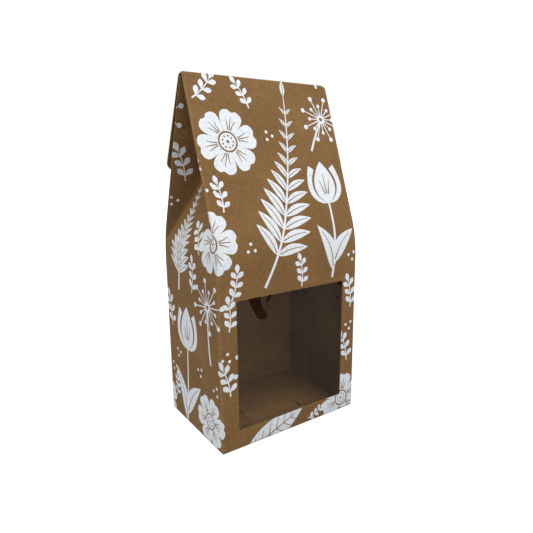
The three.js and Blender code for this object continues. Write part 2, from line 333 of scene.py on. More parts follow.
# A side wall's point: s across from one broad wall's corner to the middle, on the half of that wall's line
def foldSide(s, v, line, rim):
    y, z = onLine(line, v)
    half = sideFlat / 2
    gap = board["foldGap"] / 2
    if v <= creaseHeight:
        return 0.0, (y - board["cornerSide"]) * (1 - s / half), z
    r = v - creaseHeight
    flat = board["gussetHeight"]
    slant = rim - creaseHeight
    crease = onLine(line, creaseHeight)
    low = np.array((0.0, crease[0] - board["cornerSide"], crease[1]))
    meet = np.array((gusset["meetIn"], gap, gusset["meetUp"]))
    top = np.array((gusset["topIn"], gap, gusset["topUp"]))
    if s > gussetHalf:  # the narrow strip along the middle crease
        across = (half - s) / gap if gap else 0.0
        if r <= flat:
            spot = low * (1 - r / flat) + meet * (r / flat)
            spot[1] = 0.0
        else:
            spot = meet + (top - meet) * ((r - flat) / (slant - flat))
        spot[1] = gap * across
        return tuple(spot)
    if r <= flat * s / gussetHalf:  # the middle triangle
        share = r / flat
        wide = low[1] + (gap - low[1]) * s / gussetHalf
        return meet[0] * share, wide, low[2] + (meet[2] - low[2]) * share
    if r > slant + (flat - slant) * s / gussetHalf:  # the part that lies flat against its other half
        edge = onLine(line, rim)
        high = np.array((0.0, edge[0] - board["cornerSide"], edge[1]))
        a = (gussetHalf - s) / gussetHalf
        b = (slant - r) / (slant - flat)
        return tuple(top + a * (high - top) + b * (meet - top))
    k = max(1 - s / gussetHalf, 1e-6)  # the flank, drawn from the meeting point to the corner line
    hit = onLine(line, creaseHeight + flat + (r - flat) / k)
    edge = np.array((0.0, hit[0] - board["cornerSide"], hit[1]))
    return tuple(meet + k * (edge - meet))


# A corner's rounding: share 0 on the broad wall, 1 on the side wall
def foldCorner(share, y, shift=0.0):
    p0 = np.array((halfWidth - board["cornerBroad"] - shift, y))
    p1 = np.array((halfWidth - shift, y))
    p2 = np.array((halfWidth - shift, y - board["cornerSide"]))
    return (1 - share) ** 2 * p0 + 2 * share * (1 - share) * p1 + share ** 2 * p2


# The leaning walls are very slightly hollow between their edges
def bow(share, v, rim):
    if v < bendRows[-1] or v > rim:
        return 0.0
    up = (v - bendRows[-1]) / (rim - bendRows[-1])
    return board["bow"] * math.sin(math.pi * share) * math.sin(math.pi * up)


def foldBroad(x, v, line, flap, wall, rim):
    def wallAt(height):
        y, z = onLine(line, height)
        return x, wall * (y - bow((x + broadHalf) / (2 * broadHalf), height, rim)), z

    def flapAt(distance):
        y, z = onLine(flap, distance)
        return x, y, z

    return throughCrease(v, wallAt, flapAt, broadHalf - abs(x))


def foldSideWall(side, s, v):
    half = sideFlat / 2
    wall = -1 if s <= half else 1
    near = s if s <= half else sideFlat - s
    line, rim = (frontLine, frontRim) if s <= half else (backLine, backRim)

    def wallAt(height):
        inward, y, z = foldSide(near, height, line, rim)
        return side * (halfWidth - inward), wall * y, z

    def flapAt(distance):
        inward, z = onLine(flaps["side"][0], distance)
        return side * (halfWidth - inward), s - half, z

    return throughCrease(v, wallAt, flapAt, near)


def foldSharp(u, v):
    across = abs(u)
    side = 1 if u > 0 else -1
    if across <= broadHalf:
        return foldBroad(u, v, frontLine, flaps["front"][0], -1, frontRim)
    if across <= sideStart:
        y, z = onLine(frontLine, v)
        x, y = foldCorner((across - broadHalf) / board["cornerFlat"], y)
        return side * x, -y, z
    if across <= sideEnd:
        return foldSideWall(side, across - sideStart, v)
    y, z = onLine(backLine, v)
    if across <= backStart:
        x, y = foldCorner(1 - (across - sideEnd) / board["cornerFlat"], y)
        return -x, y, z
    if across <= backEnd:
        return foldBroad(across - backStart - broadHalf, v, backLine, flaps["back"][0], 1, backRim)
    if across <= tabStart:
        x, y = foldCorner((across - backEnd) / board["cornerFlat"], y, board["tabShift"])
        return x, y, z
    return halfWidth - board["tabShift"], y - board["cornerSide"] - (across - tabStart), z


# The box's bottom corners are a little blunt, except the glued one, and so is the ridge's right end
def foldSheet(u, v):
    x, y, z = foldSharp(u, v)
    corners = (broadHalf, sideEnd) if u < 0 else (broadHalf,)
    near = min(math.hypot(abs(u) - corner - board["cornerFlat"] / 2, v) for corner in corners)
    fromEnd = math.hypot(u - broadHalf, v - frontRim - board["rimDrop"])
    lift = board["cornerLift"] * max(0.0, 1 - near / board["liftReach"]) ** 2
    return x, y, z + lift - board["ridgePress"] * max(0.0, 1 - fromEnd / board["pressReach"]) ** 2


def within(u, v, outline):
    inside = False
    for (u0, v0), (u1, v1) in zip(outline, outline[1:] + outline[:1]):
        if (v0 > v) != (v1 > v) and u < (u1 - u0) * (v - v0) / (v1 - v0) + u0:
            inside = not inside
    return inside


outlines = baseOutlines()


# Whether a point of the flat sheet is on it, and on which piece
def partOfSheet(u, v):
    if v < 0:
        return "carton" if any(within(u, v, outline) for outline in outlines) else None
    across = abs(u)
    if u > sideEnd - board["seam"]:
        return None
    if across <= broadHalf:
        if v <= frontRim:
            return "carton"
        beyond = np.maximum(0, (across - broadHalf + board["flapRadius"], v - flapEnd + board["flapRadius"]))
        return "flap" if np.linalg.norm(beyond) < board["flapRadius"] else None
    if across <= sideEnd:
        return "carton" if v < (frontRim if across < sideStart + sideFlat / 2 else backRim) else None
    if across <= tabStart:
        return "carton" if v < backRim else None
    low = board["tabInset"] * (1 + board["tabTaper"] * (across - tabStart) / board["tabWidth"])
    return "carton" if across < tabEnd and low < v < board["shoulder"] - board["bendReach"] - low else None


# Print: filled shapes on the flat sheet, "ink" or "bare"; a later shape covers an earlier one
printed = []


def addShape(points, kind="ink"):
    points = np.array(points, float)
    following = np.roll(points, -1, axis=0)
    area = np.sum(points[:, 0] * following[:, 1] - following[:, 0] * points[:, 1])
    printed.append((points if area > 0 else points[::-1], kind))


def turned(points, origin, heading):
    c, s = math.cos(math.radians(heading)), math.sin(math.radians(heading))
    x, y = np.array(points, float).T
    return np.stack((x * c - y * s, x * s + y * c), axis=1) + origin


# How wide a leaf is at a share of its length; belly says where it is widest
def leafSwell(share, belly):
    return np.sin(math.pi * share ** (math.log(0.5) / math.log(belly))) ** 0.85


# A leaf lies along its heading from its foot; bow says how much it curves
def leafOutline(length, wide, belly=0.45, steps=10, bow=0.0):
    shares = np.linspace(0, 1, steps + 1)
    half = wide / 2 * leafSwell(shares, belly)
    middle = bow * length * np.sin(math.pi * shares)
    upper = np.stack((shares * length, middle + half), axis=1)
    lower = np.stack((shares * length, middle - half), axis=1)[1:-1][::-1]
    return np.concatenate((upper, lower))


def ribbon(points, startWide, endWide):
    points = np.array(points, float)
    along = np.gradient(points, axis=0)
    along /= np.linalg.norm(along, axis=1)[:, None]
    normal = np.stack((-along[:, 1], along[:, 0]), axis=1)
    half = np.linspace(startWide, endWide, len(points))[:, None] / 2
    return np.concatenate((points + normal * half, (points - normal * half)[::-1]))


def disc(centre, radius, steps=12):
    angles = np.arange(steps) * 2 * math.pi / steps
    return np.stack((np.cos(angles), np.sin(angles)), axis=1) * radius + centre


def polar(centre, angle, reach):
    return np.array(centre) + reach * np.array((math.cos(math.radians(angle)), math.sin(math.radians(angle))))


def addTurned(points, foot, heading, kind="ink"):
    addShape(turned(points, foot, heading), kind)


# Draws a curved stem and gives its points
def addStem(start, heading, length, bend, steps, startWide, endWide):
    points = [np.array(start, float)]
    for i in range(steps):
        points.append(polar(points[-1], heading + bend * (i + 0.5) / steps, length / steps))
    addShape(ribbon(points, startWide, endWide))
    return np.array(points)


veins = {"rib": (0.08, 0.86), "ribWide": 0.45, "ribGrowth": 0.035, "first": 0.16, "span": 0.62, "reach": 0.78,
         "lean": 0.75, "wide": 0.6, "tipWide": 0.35}


# One leaf with bare veins: a midrib, and pairs of side veins on a broad one
def veinedLeaf(foot, heading, length, wide, veinPairs=0, bow=0.0, belly=0.45):
    addTurned(leafOutline(length, wide, belly, 16 if veinPairs else 10, bow), foot, heading)
    rib = [(share * length, bow * length * math.sin(math.pi * share))
           for share in np.linspace(*veins["rib"], 8)]
    ribWide = veins["ribWide"] + veins["ribGrowth"] * wide
    addTurned(ribbon(rib, ribWide, ribWide * 0.5), foot, heading, "bare")
    for i in range(veinPairs):
        share = veins["first"] + veins["span"] * i / max(veinPairs - 1, 1)
        middle = bow * length * math.sin(math.pi * share)
        reach = wide / 2 * leafSwell(share, belly) * veins["reach"]
        for hand in (-1, 1):
            vein = [(share * length + veins["lean"] * reach * t,
                     middle + hand * reach * (1.3 * t - 0.3 * t * t)) for t in (0, 0.35, 0.7, 1)]
            addTurned(ribbon(vein, veins["wide"], veins["tipWide"]), foot, heading, "bare")


fern = {"pairs": 12, "steps": 30, "spread": 60, "stem": (1.7, 0.6), "leafWide": 0.27, "bareStem": 0.17}


def addFern(start, heading, length, bend, leaf):
    stem = addStem(start, heading, length, bend, fern["steps"], *fern["stem"])
    for i in range(fern["pairs"]):
        share = fern["bareStem"] + (1 - fern["bareStem"]) * i / fern["pairs"]
        foot = stem[int(share * fern["steps"])]
        direction = heading + bend * share
        size = leaf * (0.62 + 0.38 * math.sin(math.pi * min(1.0, share * 1.5))) * (1.12 - 0.78 * share)
        for hand in (-1, 1):
            angle = direction + hand * fern["spread"] * (1 - 0.3 * share)
            veinedLeaf(foot, angle, size, size * fern["leafWide"], bow=-hand * 0.06)
    veinedLeaf(stem[-1], heading + bend, leaf * 0.4, leaf * 0.13)


tulip = {"stem": (1.7, 1.7 * 0.85), "leaves": ((1, 1, 0.66), (2, -1, 0.56)), "leafTurn": 30,
         "leafWide": 0.36, "petal": (1.04, 0.60), "petalTurn": 22, "rim": (1.14, 0.76), "heart": (1.06, 0.64),
         "belly": 0.42, "slits": 3, "slitApart": 0.12}


def addTulip(start, heading, length, bend, size):
    stem = addStem(start, heading, length, bend, 10, *tulip["stem"])
    wide = size * tulip["leafWide"]
    for spot, hand, reach in tulip["leaves"]:
        veinedLeaf(stem[spot], heading + hand * tulip["leafTurn"], length * reach, wide, bow=-hand * 0.1)
    head = heading + bend
    foot = stem[-1]
    petal, rim, heart = ([size * share for share in tulip[key]] for key in ("petal", "rim", "heart"))
    for hand in (-1, 1):
        addTurned(leafOutline(*petal, 0.4, 12, hand * 0.05), foot, head + hand * tulip["petalTurn"])
    addTurned(leafOutline(*rim, tulip["belly"], 14), foot, head, "bare")
    addTurned(leafOutline(*heart, tulip["belly"], 14), foot, head)
    for slit in range(tulip["slits"]):
        offset = (slit - (tulip["slits"] - 1) / 2) * size * tulip["slitApart"]
        reach = 0.5 - 1.4 * abs(offset) / size
        line = [(size * (0.24 + reach * t), offset * (0.45 + 0.75 * t)) for t in np.linspace(0, 1, 5)]
        addTurned(ribbon(line, 0.95, 0.35), foot, head, "bare")


seedHead = {"stem": (1.5, 1.1), "rays": 16, "rayWide": 0.75, "rayTip": 0.55, "dot": 1.5, "shortRay": 0.62,
            "shortDot": 0.8, "heart": 0.2, "eye": 0.09}


def addSeedHead(start, heading, length, bend, radius):
    centre = addStem(start, heading, length, bend, 8, *seedHead["stem"])[-1]
    for i in range(seedHead["rays"]):
        angle = heading + bend + 180 + (i + 0.5) * 360 / seedHead["rays"]
        long = i % 2 == 0
        reach = radius * (1 if long else seedHead["shortRay"])
        ray = [centre, polar(centre, angle, reach / 2), polar(centre, angle, reach)]
        addShape(ribbon(ray, seedHead["rayWide"], seedHead["rayTip"]))
        addShape(disc(ray[-1], seedHead["dot"] * (1 if long else seedHead["shortDot"]), 10))
    addShape(disc(centre, radius * seedHead["heart"], 16))
    addShape(disc(centre, radius * seedHead["eye"], 9), "bare")


blossom = {"petals": 6, "petalShares": (0, 0.12, 0.28, 0.45, 0.6, 0.74, 0.86, 0.94, 0.985),
           "petalFoot": 0.2, "petalWide": 0.96, "stroke": (0.36, 0.78), "strokeShorter": 0.1,
           "strokeAside": (0.045, 0.085, 0.15), "eye": 0.27, "ring": 1.2, "beads": 9, "bead": 0.032,
           "beadRing": 0.66, "pip": 0.05}


def petalOutline(inner, outer, half):
    upper = []
    for share in blossom["petalShares"]:
        wide = half * (share + 0.06) ** 0.62 * math.sqrt(1 - share ** 5)
        upper.append((inner + (outer - inner) * share, wide))
    tip = [(outer - (outer - inner) * 0.09, 0)]
    return upper + tip + [(x, -y) for x, y in reversed(upper)]


def addBlossom(centre, radius, heading):
    count = blossom["petals"]
    for i in range(count):
        angle = heading + i * 360 / count
        half = radius * math.sin(math.pi / count) * blossom["petalWide"]
        addTurned(petalOutline(radius * blossom["petalFoot"], radius, half), centre, angle)
        for hand in (-1, 0, 1):
            foot, reach = blossom["stroke"]
            reach -= blossom["strokeShorter"] * abs(hand)
            spots = zip((foot, (foot + reach) / 2, reach), blossom["strokeAside"])
            line = [(radius * out, hand * radius * aside) for out, aside in spots]
            addTurned(ribbon(line, 0.7, 0.35), centre, angle, "bare")
    addShape(disc(centre, radius * blossom["eye"] * blossom["ring"], 24), "bare")
    addShape(disc(centre, radius * blossom["eye"], 22))
    for i in range(blossom["beads"]):
        bead = polar(centre, i * 360 / blossom["beads"], radius * blossom["eye"] * blossom["beadRing"])
        addShape(disc(bead, radius * blossom["bead"], 7), "bare")
    addShape(disc(centre, radius * blossom["pip"], 8), "bare")


grass = {"pairs": 6, "steps": 24, "firstPair": 0.42, "pairSpan": 0.58, "stem": (1.3, 0.8), "spread": 33,
         "grainWide": 0.42, "bristle": ((8, 0.3), (12, 0.62)), "stroke": (0.25, 0.5, 0.74)}


# An ear of grass: plump grains in pairs, each with a bare stroke and a thin bristle
def addGrass(start, heading, length, bend, grain):
    stem = addStem(start, heading, length, bend, grass["steps"], *grass["stem"])
    for i in range(grass["pairs"]):
        share = grass["firstPair"] + grass["pairSpan"] * i / grass["pairs"]
        foot = stem[int(share * grass["steps"])]
        direction = heading + bend * share
        for hand in (-1, 1):
            angle = direction + hand * grass["spread"]
            tip = polar(foot, angle, grain)
            bristle = [polar(tip, angle - hand * turn, grain * out) for turn, out in grass["bristle"]]
            addShape(ribbon([tip] + bristle, 0.6, 0.35))
            addTurned(leafOutline(grain, grain * grass["grainWide"], 0.5), foot, angle)
            line = [polar(foot, angle, grain * out) for out in grass["stroke"]]
            addShape(ribbon(line, 0.5, 0.35), "bare")
    addTurned(leafOutline(grain * 1.1, grain * grass["grainWide"], 0.5), stem[-1], heading + bend)


sprig = {"bend": 25, "stem": (0.9, 0.5), "pairs": 3, "spread": 46, "leaf": (0.36, 0.19), "tip": (0.38, 0.2)}


def addSprig(start, heading, length):
    bend = sprig["bend"]
    stem = addStem(start, heading, length, bend, 2 * sprig["pairs"], *sprig["stem"])
    leaf, tip = ([length * share for share in sprig[key]] for key in ("leaf", "tip"))
    for i in range(sprig["pairs"]):
        for hand in (-1, 1):
            angle = heading + bend * i / 2 + hand * sprig["spread"]
            addTurned(leafOutline(*leaf, 0.62, 8), stem[2 * i + 1], angle)
    addTurned(leafOutline(*tip, 0.6, 8), stem[-1], heading + bend)


# The print repeats each time round half of the box, one broad wall and one side wall
layout = {
    "repeat": 2 * broadHalf + sideFlat + 2 * board["cornerFlat"],
    "ferns": [
        ((-20, 93), 60, 118, 26, 25),
        ((-100, 86), 80, 68, 10, 17),
    ],
    "tulips": [
        ((30, 92), 80, 46, 12, 25),
        ((-96, -6), 82, 56, 6, 26),
        ((8, 15), 100, 44, -18, 22),
        ((42, 212), 96, 36, 10, 20),
    ],
    "seedHeads": [
        ((-61, 50), 100, 34, -14, 15),
        ((-26, 15), 86, 34, 8, 15),
        ((-30, 217), 80, 31, 10, 15),
        ((28, 171), 62, 24, -6, 14),
    ],
    "blossoms": [
        ((-30, 176), 19, 12),
        ((-54, 121), 18, 0),
        ((40, 8), 17, 20),
        ((-64, 14), 16, 4),
        ((5, 248), 17, 8),
        ((-4, -34), 16, 8),
    ],
    "grasses": [
        ((22, 28), 88, 46, -8, 10),
        ((-72, 142), 86, 60, 12, 11),
    ],
    "sprigs": [
        ((6, 90), 80, 15), ((-42, 89), 62, 15), ((-41, 137), 80, 15), ((-47, 200), 30, 17),
        ((-12, 196), 100, 15), ((44, 34), 92, 17), ((46, 70), 84, 17), ((-44, 34), 92, 17),
        ((-44, 72), 76, 15), ((12, 2), 10, 11), ((-112, 60), 84, 18), ((-82, 88), 70, 17),
        ((-110, 12), 70, 13), ((24, 228), 60, 12), ((-8, 217), 60, 12), ((-70, 112), 110, 17),
        ((-60, 182), 70, 17), ((-36, -26), 130, 16), ((30, -16), -70, 17), ((-84, -12), -90, 17),
        ((-104, 190), 60, 16), ((-108, 154), 96, 18),
    ],
    "leaves": [
        ((-36, -6), 22, 47, 16),
    ],
    "dots": [
        (46, 104), (-46, 150), (-2, 180), (-75, 41), (-56, 36), (-104, 44), (-46, 57), (45, 58), (-22, 80),
        (-12, 70), (14, 84), (-112, 32), (-46, 228), (46, 272), (24, 268), (-24, -10), (16, -14), (-80, 148),
        (-114, 141), (-52, 163), (12, 222), (-12, 30), (17, 48), (-28, 116), (-10, 266),
    ],
    "dotRing": 2.6,  # three dots stand round each spot
    "dot": 1.0,
}


def layPrint():
    motifs = {"ferns": addFern, "tulips": addTulip, "seedHeads": addSeedHead, "blossoms": addBlossom,
              "grasses": addGrass, "sprigs": addSprig}
    for turns in (-1, 0, 1):
        move = np.array((turns * layout["repeat"], 0))
        for key, draw in motifs.items():
            for start, *rest in layout[key]:
                draw(np.array(start) + move, *rest)
        for foot, heading, length, wide in layout["leaves"]:
            veinedLeaf(np.array(foot) + move, heading, length, wide, 6)
        for spot in layout["dots"]:
            for i in range(3):
                centre = polar(np.array(spot) + move, i * 120 + spot[0], layout["dotRing"])
                addShape(disc(centre, layout["dot"], 9))


layPrint()
print("print laid out:", len(printed), "shapes")


def windowOutline():
    half = halfWidth - window["side"]
    low, high, r = window["sill"], window["sill"] + window["tall"], window["radius"]
    centres = ((half - r, low + r), (half - r, high - r), (-half + r, high - r), (-half + r, low + r))
    points = []
    for quarter, (cx, cy) in enumerate(centres):
        for i in range(5):
            angle = math.radians(quarter * 90 - 90 + i * 22.5)
            points.append(np.array((cx + r * math.cos(angle), cy + r * math.sin(angle))))
    outline = []
    for a, b in zip(points, points[1:] + points[:1]):
        count = max(1, int(np.linalg.norm(b - a) / window["step"]))
        for i in range(count):
            amount = window["raggedTop"] if min(a[1], b[1]) > high - 2 * r else window["ragged"]
            jitter = np.array([random.uniform(-1, 1), random.uniform(-1, 1)]) * amount if i else 0
            outline.append(a + (b - a) * i / count + jitter)
    return np.array(outline)


# Rubbed folds: how far the rubbing reaches from each, in millimetres
wear = {
    "columns": (0.7, 1.6, 3.0),
    "corner": 1.2,
    "floor": 0.9,
    "floorShare": 0.8,
    "crown": 0.8,
    "crownShare": 0.7,
    "crownStart": 1.0,
    "most": 0.75,
    "rub": 300.0,
    "onKraft": (0.3, 0.7),
    "onInk": (0.48, 0.7),
}


def wearAt(u, v):
    across = abs(u)
    amount = 0.0
    if v >= 0:
        for start in (broadHalf, sideEnd, backEnd):
            near = across - start - board["cornerFlat"] / 2
            amount = max(amount, math.exp(-(near / wear["corner"]) ** 2))
    amount = max(amount, wear["floorShare"] * math.exp(-(v / wear["floor"]) ** 2))
    if across <= broadHalf:
        for height in (frontRim + wear["crownStart"], flapEnd - board["flapLength"]):
            amount = max(amount, wear["crownShare"] * math.exp(-((v - height) / wear["crown"]) ** 2))
    return amount


def gridBetween(low, high, margin=2):
    return np.arange(low + board["gridStep"], high - margin, board["gridStep"])


# Everything that the flat sheet is cut and creased along, as line segments
def sheetLines():
    lines = []
    left, right = -tabEnd, sideEnd - board["seam"]

    def level(v, u0=left, u1=right):
        lines.append(((u0, v), (u1, v)))

    def upright(u, v0=0.0, v1=backRim):
        lines.append(((u, v0), (u, v1)))

    for share in (-1, -0.5, 0, 0.5, 1):
        level(share * board["floorRound"])
    for v in bendRows:
        level(v)
    for v in (*gridBetween(0, bendRows[0]), *gridBetween(bendRows[-1], frontRim, 3)):
        level(v)
    level(frontRim, -broadHalf - sideFlat / 2, right)
    level(backRim, left)
    for v in frontLine["run"][board["bendSteps"] + 2:]:
        level(v, -broadHalf, broadHalf)
    for v in np.arange(frontRim + 12, flapEnd - 3, board["gridStep"]):
        level(v, -broadHalf, broadHalf)
    for side in (-1, 1):
        for i in range(board["cornerSteps"] + 1):
            upright(side * (broadHalf + board["cornerFlat"] * i / board["cornerSteps"]), 0, frontRim)
        for offset in wear["columns"]:
            upright(side * (broadHalf - offset), 0, flapEnd - board["flapLength"])
            upright(side * (sideStart + offset), 0, creaseHeight)
        upright(side * (broadHalf - board["roundFade"]), 0, 2 * board["floorRound"])
        upright(side * broadHalf, frontRim, flapEnd)
        arc = [polar((broadHalf - board["flapRadius"], flapEnd - board["flapRadius"]), a, board["flapRadius"])
               for a in range(0, 91, 10)]
        lines.extend(((side * a[0], a[1]), (side * b[0], b[1])) for a, b in zip(arc, arc[1:]))
    for i in range(board["cornerSteps"] + 1):
        upright(-(sideEnd + board["cornerFlat"] * i / board["cornerSteps"]))
        upright(-(backEnd + board["cornerFlat"] * i / board["cornerSteps"]))
    for offset in wear["columns"]:
        upright(-(sideEnd - offset), 0, creaseHeight)
        upright(-(backStart + offset))
        upright(-(backEnd - offset))
    for outline in outlines:
        lines.extend(zip(outline, outline[1:]))
    for run in flaps["front"][0]["run"][1:3]:
        level(-run, -broadHalf, broadHalf)
    level(-flaps["back"][0]["run"][1], -backEnd, -backStart)
    for side in (-1, 1):
        level(-flaps["side"][0]["run"][1], *sorted((side * sideStart, side * sideEnd)))
    upright(right)
    upright(left)
    for u in gridBetween(-broadHalf, broadHalf):
        upright(u, 0, flapEnd)
    for u in gridBetween(backStart, backEnd):
        upright(-u)
    for side in (-1, 1):
        middle = side * (sideStart + sideFlat / 2)
        gap = board["foldGap"] / 2
        meet = creaseHeight + board["gussetHeight"]
        for hand in (-1, 1):
            corner = middle + hand * sideFlat / 2
            fold = middle + hand * gap
            rim = frontRim if abs(corner) < abs(middle) else backRim
            upright(fold, creaseHeight, rim)
            lines.append(((corner, creaseHeight), (fold, meet)))
            lines.append(((corner, rim), (fold, meet)))
            for v in bendRows[board["bendSteps"] // 2 + 1:]:
                lines.append(((corner, v), (fold, meet)))
    return lines


# Cuts the flat sheet into triangles along its creases and print, and says what each one shows
def triangulateSheet():
    points, edges, faces = [], [], []
    kinds = []
    for a, b in sheetLines():
        edges.append((len(points), len(points) + 1))
        points += [a, b]
    hole = windowOutline()
    faces.append(list(range(len(points), len(points) + len(hole))))
    points += [tuple(p) for p in hole]
    kinds.append("hole")
    for outline, kind in printed:
        if outline[:, 0].max() < -backEnd or outline[:, 0].min() > sideEnd:
            continue
        faces.append(list(range(len(points), len(points) + len(outline))))
        points += [tuple(p) for p in outline]
        kinds.append(kind)
    result = delaunay_2d_cdt([Vector(p) for p in points], edges, faces, 0, weldWithin, True)
    verts, triangles, sources = result[0], result[2], result[5]
    flat = np.array([tuple(v) for v in verts])
    shown = []
    for corners, inside in zip(triangles, sources):
        u, v = flat[list(corners)].mean(axis=0)
        part = partOfSheet(u, v)
        if part is None or 0 in inside:
            continue
        kind = kinds[max(inside)] if inside else "bare"
        if abs(u) > backEnd:
            kind = "bare"
        shown.append((part, kind, tuple(corners)))
    print("sheet cut:", len(flat), "points,", len(shown), "triangles")
    return flat, shown


flatPoints, sheetTriangles = triangulateSheet()


shaderInputs = {"roughness": "Roughness", "specular": "Specular IOR Level", "ior": "IOR", "alpha": "Alpha"}


def nodeMaterial(name, settings):
    material = bpy.data.materials.new(name)
    material.use_nodes = True
    tree = material.node_tree
    shader = tree.nodes["Principled BSDF"]
    for key, socket in shaderInputs.items():
        if key in settings:
            shader.inputs[socket].default_value = settings[key]
    return material, tree, shader


def linear(*rgb):
    values = [c / 255 for c in rgb]
    return tuple((c / 12.92 if c <= 0.04045 else ((c + 0.055) / 1.055) ** 2.4) for c in values) + (1.0,)


def noise(tree, vector, scale, detail=4.0, roughness=0.6, stretch=(1, 1, 1)):
    mapping = tree.nodes.new("ShaderNodeMapping")
    mapping.inputs["Scale"].default_value = stretch
    tree.links.new(vector, mapping.inputs["Vector"])
    texture = tree.nodes.new("ShaderNodeTexNoise")
    texture.inputs["Scale"].default_value = scale
    texture.inputs["Detail"].default_value = detail
    texture.inputs["Roughness"].default_value = roughness
    tree.links.new(mapping.outputs["Vector"], texture.inputs["Vector"])
    return texture.outputs["Fac"]


def ramp(tree, value, stops):
    node = tree.nodes.new("ShaderNodeValToRGB")
    elements = node.color_ramp.elements
    for spot, colour in stops[2:]:
        elements.new(spot)
    for element, (spot, colour) in zip(elements, sorted(stops, key=lambda s: s[0])):
        element.position = spot
        element.color = colour
    tree.links.new(value, node.inputs["Fac"])
    return node.outputs["Color"]


def mixColours(tree, a, b, share, blend="MIX"):
    node = tree.nodes.new("ShaderNodeMix")
    node.data_type = "RGBA"
    node.blend_type = blend
    for key, value in (("A", a), ("B", b)):
        socket = [s for s in node.inputs if s.name == key and s.type == "RGBA"][0]
        if isinstance(value, tuple):
            socket.default_value = value
        else:
            tree.links.new(value, socket)
    factor = [s for s in node.inputs if s.name == "Factor" and s.type == "VALUE"][0]
    if isinstance(share, float):
        factor.default_value = share
    else:
        tree.links.new(share, factor)
    return [s for s in node.outputs if s.type == "RGBA"][0]


def mathNode(tree, operation, *values):
    node = tree.nodes.new("ShaderNodeMath")
    node.operation = operation
    for socket, value in zip(node.inputs, values):
        if isinstance(value, float):
            socket.default_value = value
        else:
            tree.links.new(value, socket)
    return node.outputs["Value"]


def mapRange(tree, value, spans, kind="LINEAR"):
    node = tree.nodes.new("ShaderNodeMapRange")
    node.interpolation_type = kind
    for key, amount in zip(("From Min", "From Max", "To Min", "To Max"), spans):
        node.inputs[key].default_value = amount
    tree.links.new(value, node.inputs["Value"])
    return node.outputs["Result"]


kraft = {
    "tones": [(0.3, linear(117, 84, 43)), (0.72, linear(134, 101, 57)), (0.5, linear(125, 92, 49))],
    "worn": linear(152, 120, 78),
    "blotch": 30.0,
    "grain": 820.0,
    "grainTones": [(0.34, (0.62, 0.59, 0.54, 1)), (0.64, (1.22, 1.23, 1.25, 1))],
    "grainShare": 0.8,
    "fleck": 1300.0,
    "fleckTones": [(0.68, (1, 1, 1, 1)), (0.78, (0.5, 0.42, 0.34, 1))],
    "fleckShare": 0.7,
    "stretch": (1.0, 0.45, 1.0),
    "roughness": 0.78,
    "specular": 0.4,
    "bump": 0.12,
    "bumpDepth": 0.0001,
    # painted light: the inside copy of the kraft is a little lighter and warmer, standing in for the light
    # inside the box
    "insideLightTint": (1.06, 1.02, 0.96, 1),
}


# Unbleached board: soft blotches, short fibres lying mostly one way, and dark flecks
def kraftColour(tree, vector):
    blotch = noise(tree, vector, kraft["blotch"], 5.0, 0.6)
    colour = ramp(tree, blotch, kraft["tones"])
    fibres = noise(tree, vector, kraft["grain"], 6.0, 0.8, kraft["stretch"])
    fine = ramp(tree, fibres, kraft["grainTones"])
    colour = mixColours(tree, colour, fine, kraft["grainShare"], "MULTIPLY")
    fleck = noise(tree, vector, kraft["fleck"], 2.0, 0.5, kraft["stretch"])
    flecks = ramp(tree, fleck, kraft["fleckTones"])
    return mixColours(tree, colour, flecks, kraft["fleckShare"], "MULTIPLY"), fibres


def sheetVector(tree):
    return tree.nodes.new("ShaderNodeUVMap").outputs["UV"]


def addBump(tree, shader, height, strength):
    bump = tree.nodes.new("ShaderNodeBump")
    bump.inputs["Strength"].default_value = strength
    bump.inputs["Distance"].default_value = kraft["bumpDepth"]
    tree.links.new(height, bump.inputs["Height"])
    tree.links.new(bump.outputs["Normal"], shader.inputs["Normal"])


def foldWear(tree, vector, limits):
    attribute = tree.nodes.new("ShaderNodeAttribute")
    attribute.attribute_name = "worn"
    rub = noise(tree, vector, wear["rub"])
    share = mapRange(tree, rub, (*limits, 0.0, wear["most"]))
    return mathNode(tree, "MULTIPLY", attribute.outputs["Fac"], share)


def makeKraft(name, tone, useWear):
    material, tree, shader = nodeMaterial(name, kraft)
    vector = sheetVector(tree)
    colour, fibres = kraftColour(tree, vector)
    if useWear:
        colour = mixColours(tree, colour, kraft["worn"], foldWear(tree, vector, wear["onKraft"]))
    colour = mixColours(tree, colour, tone, 1.0, "MULTIPLY")
    tree.links.new(colour, shader.inputs["Base Color"])
    addBump(tree, shader, fibres, kraft["bump"])
    return material


ink = {
    "tones": [(0.30, linear(194, 197, 199)), (0.50, linear(228, 233, 238))],
    "mottle": 620.0,
    "pinholes": (0.64, 0.74, 0.0, 0.55),
    "roughness": 0.62,
    "bumpShare": 0.6,
}


# White ink: mottled where the board's fibres took less of it, and rubbed through along the folds
def makeInk():
    material, tree, shader = nodeMaterial("white_ink", ink)
    vector = sheetVector(tree)
    under, fibres = kraftColour(tree, vector)
    mottle = noise(tree, vector, ink["mottle"], 6.0, 0.72)
    white = ramp(tree, mottle, ink["tones"])
    pinhole = noise(tree, vector, kraft["fleck"], 3.0)
    colour = mixColours(tree, white, under, mapRange(tree, pinhole, ink["pinholes"]))
    colour = mixColours(tree, colour, kraft["worn"], foldWear(tree, vector, wear["onInk"]))
    tree.links.new(colour, shader.inputs["Base Color"])
    addBump(tree, shader, fibres, kraft["bump"] * ink["bumpShare"])
    return material


# One noise between two tones
def makeMottled(name, settings):
    material, tree, shader = nodeMaterial(name, settings)
    vector = tree.nodes.new("ShaderNodeTexCoord").outputs["Object"]
    mottle = noise(tree, vector, *settings["mottle"])
    tree.links.new(ramp(tree, mottle, settings["tones"]), shader.inputs["Base Color"])
    return material


cutEdge = {
    "mottle": (2600.0, 3.0, 0.7),
    "tones": [(0.35, linear(122, 90, 54)), (0.65, linear(164, 131, 90))],
    "roughness": 0.9,
}

